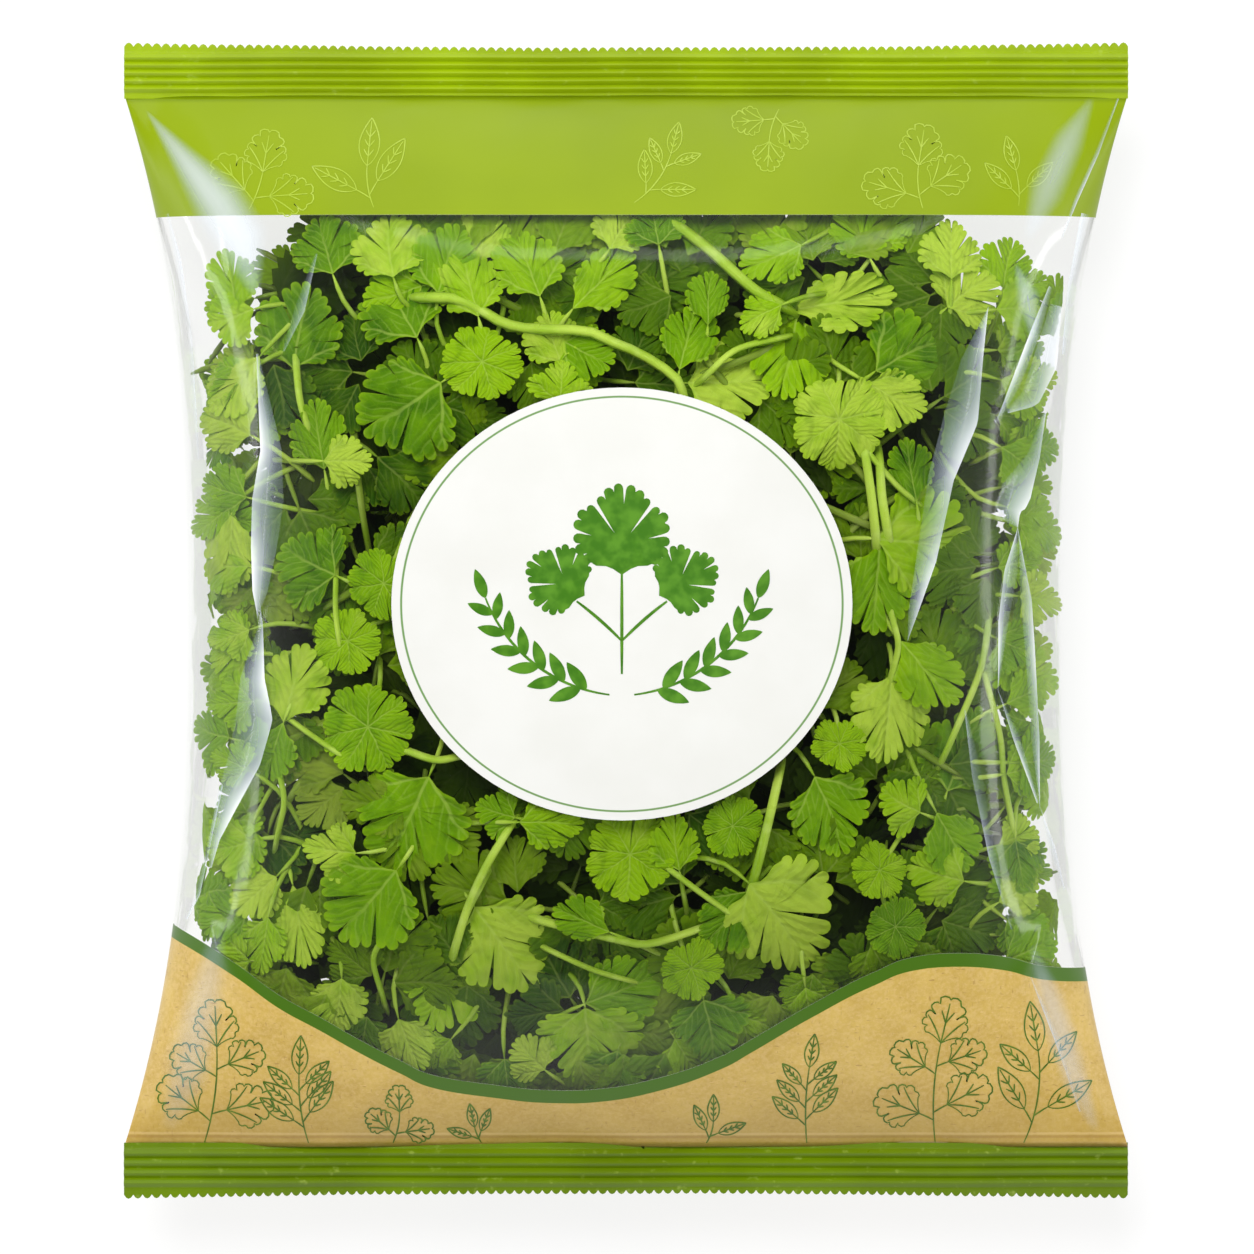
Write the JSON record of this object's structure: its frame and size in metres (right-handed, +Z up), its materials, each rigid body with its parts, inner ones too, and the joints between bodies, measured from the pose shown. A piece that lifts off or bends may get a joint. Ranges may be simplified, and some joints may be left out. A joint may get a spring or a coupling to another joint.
{
  "type": "bag of fresh coriander",
  "caption": "Sealed clear pillow bag with a printed header and base, a blank oval label and a loose filling of fresh coriander sprigs, lying on its back.",
  "frame": {"origin": "centre of the bounding box's underside, on the surface the bag lies on", "axes": "+X across the bag, +Y up the bag towards its header, +Z up from the surface out of the printed front"},
  "size_m": [0.25, 0.288, 0.0769],
  "materials": {
    "clear_film": "clear glossy film with green and kraft-brown print",
    "label_paper": "smooth off-white label paper",
    "coriander": "fresh green leaf, softly glossy"
  },
  "bodies": {
    "root": {"bag_film": "clear_film", "label": "label_paper", "coriander_sprig_01": "coriander", "coriander_sprig_02": "coriander", "coriander_sprig_03": "coriander", "coriander_sprig_04": "coriander", "coriander_sprig_05": "coriander", "coriander_sprig_06": "coriander", "coriander_sprig_07": "coriander", "coriander_sprig_08": "coriander", "coriander_sprig_09": "coriander", "coriander_sprig_10": "coriander", "coriander_sprig_11": "coriander", "coriander_sprig_12": "coriander", "coriander_sprig_13": "coriander", "coriander_sprig_14": "coriander", "coriander_sprig_15": "coriander", "coriander_sprig_16": "coriander", "coriander_sprig_17": "coriander", "coriander_sprig_18": "coriander", "coriander_sprig_19": "coriander", "coriander_sprig_20": "coriander", "coriander_sprig_21": "coriander", "coriander_sprig_22": "coriander", "coriander_sprig_23": "coriander", "coriander_sprig_24": "coriander", "coriander_sprig_25": "coriander", "coriander_sprig_26": "coriander", "coriander_sprig_27": "coriander", "coriander_sprig_28": "coriander", "coriander_sprig_29": "coriander", "coriander_sprig_30": "coriander", "coriander_sprig_31": "coriander", "coriander_sprig_32": "coriander", "coriander_sprig_33": "coriander", "coriander_sprig_34": "coriander", "coriander_sprig_35": "coriander", "coriander_sprig_36": "coriander"}
  },
  "joints": []
}
